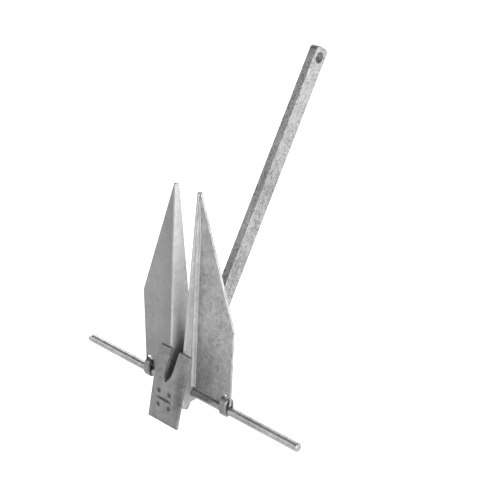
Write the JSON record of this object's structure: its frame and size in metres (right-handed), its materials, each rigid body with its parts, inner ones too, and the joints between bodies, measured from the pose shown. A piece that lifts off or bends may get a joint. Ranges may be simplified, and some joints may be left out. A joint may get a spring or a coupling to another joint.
{
  "type": "fluke anchor",
  "caption": "Galvanised steel fluke anchor: pointed flukes welded to a crown, a through stock rod, and a long flat shank that pivots on the rod and ends in a shackle eye.",
  "frame": {"origin": "middle of the stock rod's axis, which is also the shank's pivot axis", "axes": "+X along the stock rod, +Z along the flukes towards their tips, -Y towards the front crown plate; the shank leans towards +Y at rest"},
  "size_m": [0.541, 0.4129, 0.63],
  "materials": {
    "stock_zinc": "hot-dip galvanised round bar, smooth and slightly streaked",
    "shank_zinc": "hot-dip galvanised forged bar, coarse mottled zinc",
    "plate_zinc": "hot-dip galvanised plate, satin with fine spangle and runs",
    "rib_zinc": "hot-dip galvanised strip, satin",
    "crown_zinc": "hot-dip galvanised bent plate, satin with drain marks",
    "keeper_zinc": "hot-dip galvanised link, slightly rough",
    "weld_zinc": "galvanised weld bead, rippled"
  },
  "bodies": {
    "flukes": {"right_fluke_plate": "plate_zinc", "left_fluke_plate": "plate_zinc", "right_rib": "rib_zinc", "left_rib": "rib_zinc", "right_stock_keeper": "keeper_zinc", "left_stock_keeper": "keeper_zinc", "right_rib_weld_front": "weld_zinc", "right_rib_weld_back": "weld_zinc", "left_rib_weld_front": "weld_zinc", "left_rib_weld_back": "weld_zinc", "front_crown_plate": "crown_zinc", "rear_crown_plate": "crown_zinc", "right_front_crown_weld": "weld_zinc", "right_rear_crown_weld": "weld_zinc", "left_front_crown_weld": "weld_zinc", "left_rear_crown_weld": "weld_zinc"},
    "stock": {"stock_rod": "stock_zinc"},
    "shank": {"shank": "shank_zinc"}
  },
  "joints": [
    {"name": "stock_spin", "type": "hinge", "parent": "flukes", "child": "stock", "pos_m": [0, 0, 0], "axis": [1, 0, 0], "continuous": true},
    {"name": "shank_swing", "type": "hinge", "parent": "flukes", "child": "shank", "pos_m": [0, 0, 0], "axis": [1, 0, 0], "range_deg": [0, 60]}
  ]
}
